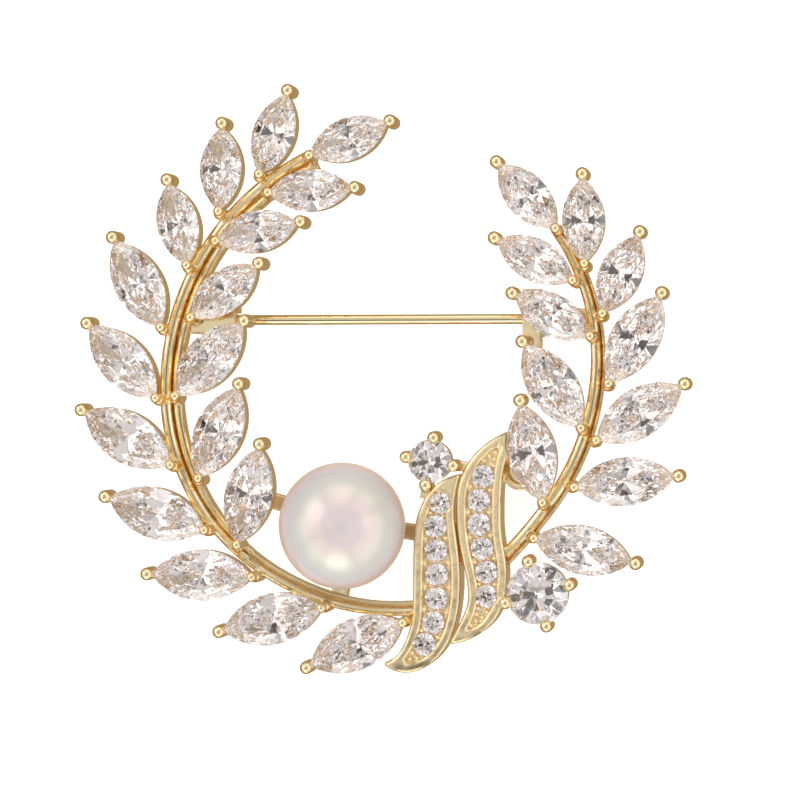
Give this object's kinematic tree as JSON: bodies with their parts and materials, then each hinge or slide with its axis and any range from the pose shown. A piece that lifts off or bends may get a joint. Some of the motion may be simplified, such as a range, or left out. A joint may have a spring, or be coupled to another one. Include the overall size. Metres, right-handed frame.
{
  "type": "pearl brooch",
  "caption": "Open laurel wreath brooch in pale gold plate with marquise stones as leaves, two pave ribbons, round stones, a pearl and a hinged pin.",
  "frame": {"origin": "under the middle of the wreath, on the surface that the brooch lies on", "axes": "+Z from the back towards the viewer, +Y towards the wreath's open top, +X to the right in front view"},
  "size_m": [0.051, 0.0486, 0.0109],
  "materials": {
    "gold": "polished gold plate",
    "stone": "cut and polished",
    "pearl": "nacre lustre"
  },
  "bodies": {
    "brooch": {"wreath_frame": "gold", "pearl": "pearl", "leaf_l1": "stone", "leaf_l2": "stone", "leaf_l3": "stone", "leaf_l4": "stone", "leaf_l5": "stone", "leaf_l6": "stone", "leaf_l7": "stone", "leaf_l8": "stone", "leaf_l9": "stone", "leaf_l10": "stone", "leaf_lt": "stone", "leaf_m1": "stone", "leaf_m2": "stone", "leaf_m3": "stone", "leaf_m4": "stone", "leaf_m5": "stone", "leaf_m6": "stone", "leaf_rt": "stone", "leaf_r1": "stone", "leaf_r2": "stone", "leaf_r3": "stone", "leaf_r4": "stone", "leaf_r5": "stone", "leaf_r6": "stone", "leaf_n1": "stone", "leaf_n2": "stone", "leaf_n3": "stone", "leaf_n4": "stone", "round_stone_small": "stone", "round_stone_large": "stone", "pave_stones_left": "stone", "pave_stones_right": "stone", "hinge_rivet": "gold"},
    "pin": {"pin_stem": "gold"}
  },
  "joints": [
    {"name": "pin_hinge", "type": "hinge", "parent": "brooch", "child": "pin", "pos_m": [-0.01384, 0.00495, 0.0015], "axis": [0, 1, 0], "range_deg": [0, 75]}
  ]
}
